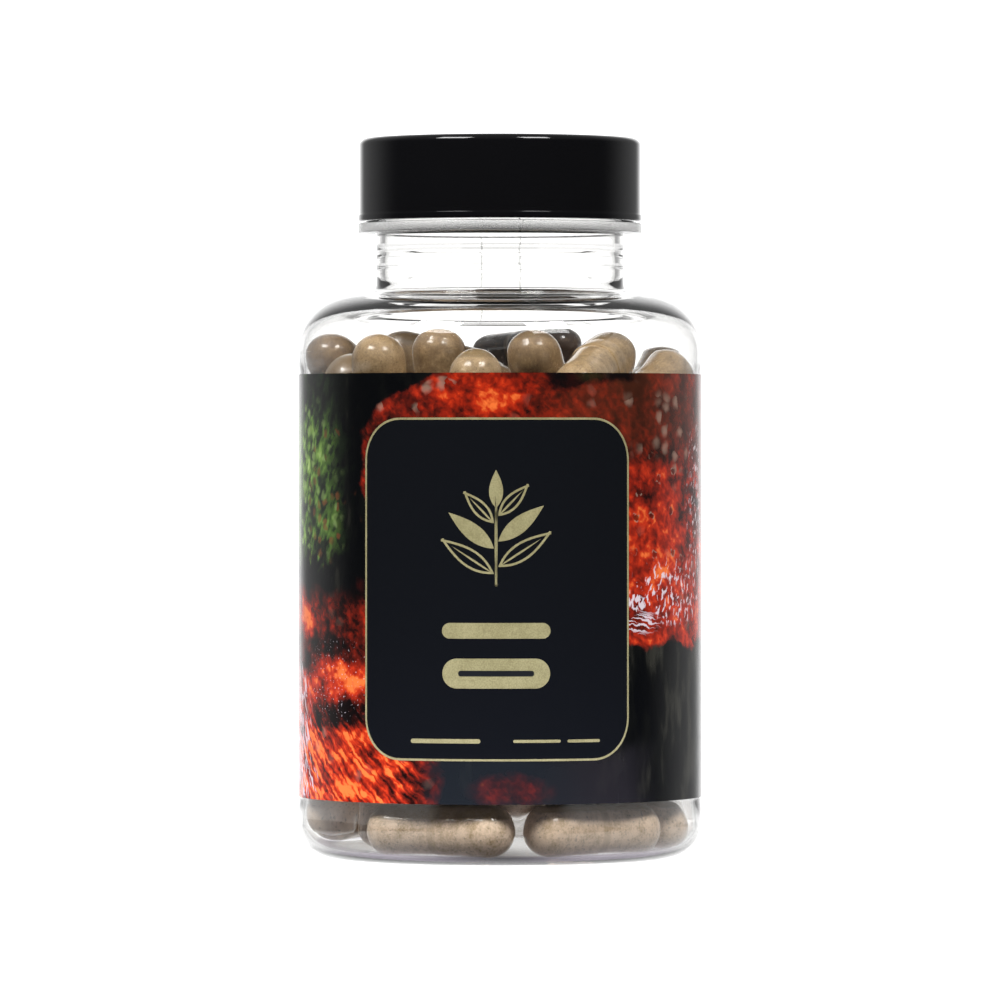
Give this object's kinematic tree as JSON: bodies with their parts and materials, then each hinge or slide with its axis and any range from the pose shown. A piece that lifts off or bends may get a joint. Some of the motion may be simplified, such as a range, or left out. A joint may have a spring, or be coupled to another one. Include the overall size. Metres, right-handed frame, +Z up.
{
  "type": "capsule bottle",
  "caption": "Clear round bottle with a black screw cap, a wraparound printed label and brown hard capsules inside.",
  "frame": {"origin": "centre of the base ring's plane, on the bottle's axis", "axes": "+Z up along the bottle's axis, -Y towards the front of the label"},
  "size_m": [0.0582, 0.0582, 0.1033],
  "materials": {
    "clear_plastic": "clear, gloss, see-through",
    "black_plastic": "smooth gloss black",
    "foam": "matt white foam",
    "printed_film": "printed film with a satin gloss",
    "capsule_shell": "glossy clear shell over brown powder"
  },
  "bodies": {
    "bottle": {"bottle": "clear_plastic", "label": "printed_film", "capsule_base_01": "capsule_shell", "capsule_base_02": "capsule_shell", "capsule_base_03": "capsule_shell", "capsule_base_04": "capsule_shell", "capsule_base_05": "capsule_shell", "capsule_base_06": "capsule_shell", "capsule_base_07": "capsule_shell", "capsule_base_08": "capsule_shell", "capsule_base_09": "capsule_shell", "capsule_base_10": "capsule_shell", "capsule_base_11": "capsule_shell", "capsule_base_12": "capsule_shell", "capsule_base_13": "capsule_shell", "capsule_base_14": "capsule_shell", "capsule_base_15": "capsule_shell", "capsule_base_16": "capsule_shell", "capsule_heap": "capsule_shell", "capsule_top_01": "capsule_shell", "capsule_top_02": "capsule_shell", "capsule_top_03": "capsule_shell", "capsule_top_04": "capsule_shell", "capsule_top_05": "capsule_shell", "capsule_top_06": "capsule_shell", "capsule_top_07": "capsule_shell", "capsule_top_08": "capsule_shell", "capsule_top_09": "capsule_shell", "capsule_top_10": "capsule_shell", "capsule_top_11": "capsule_shell", "capsule_top_12": "capsule_shell", "capsule_top_13": "capsule_shell", "capsule_top_14": "capsule_shell", "capsule_top_15": "capsule_shell", "capsule_top_16": "capsule_shell", "capsule_top_17": "capsule_shell", "capsule_top_18": "capsule_shell", "capsule_top_19": "capsule_shell"},
    "cap_carrier": {"cap_liner": "foam"},
    "cap": {"cap": "black_plastic"}
  },
  "joints": [
    {"name": "cap_lift", "type": "slide", "parent": "bottle", "child": "cap_carrier", "axis": [0, 0, 1], "range_m": [0, 0.00425]},
    {"name": "cap_turn", "type": "hinge", "parent": "cap_carrier", "child": "cap", "pos_m": [0, 0, 0.0965], "axis": [0, 0, 1], "range_deg": [0, 360]}
  ],
  "couplings": [
    {"joint": "cap_lift", "follows": "cap_turn", "m_per_rad": 0.0006737}
  ]
}
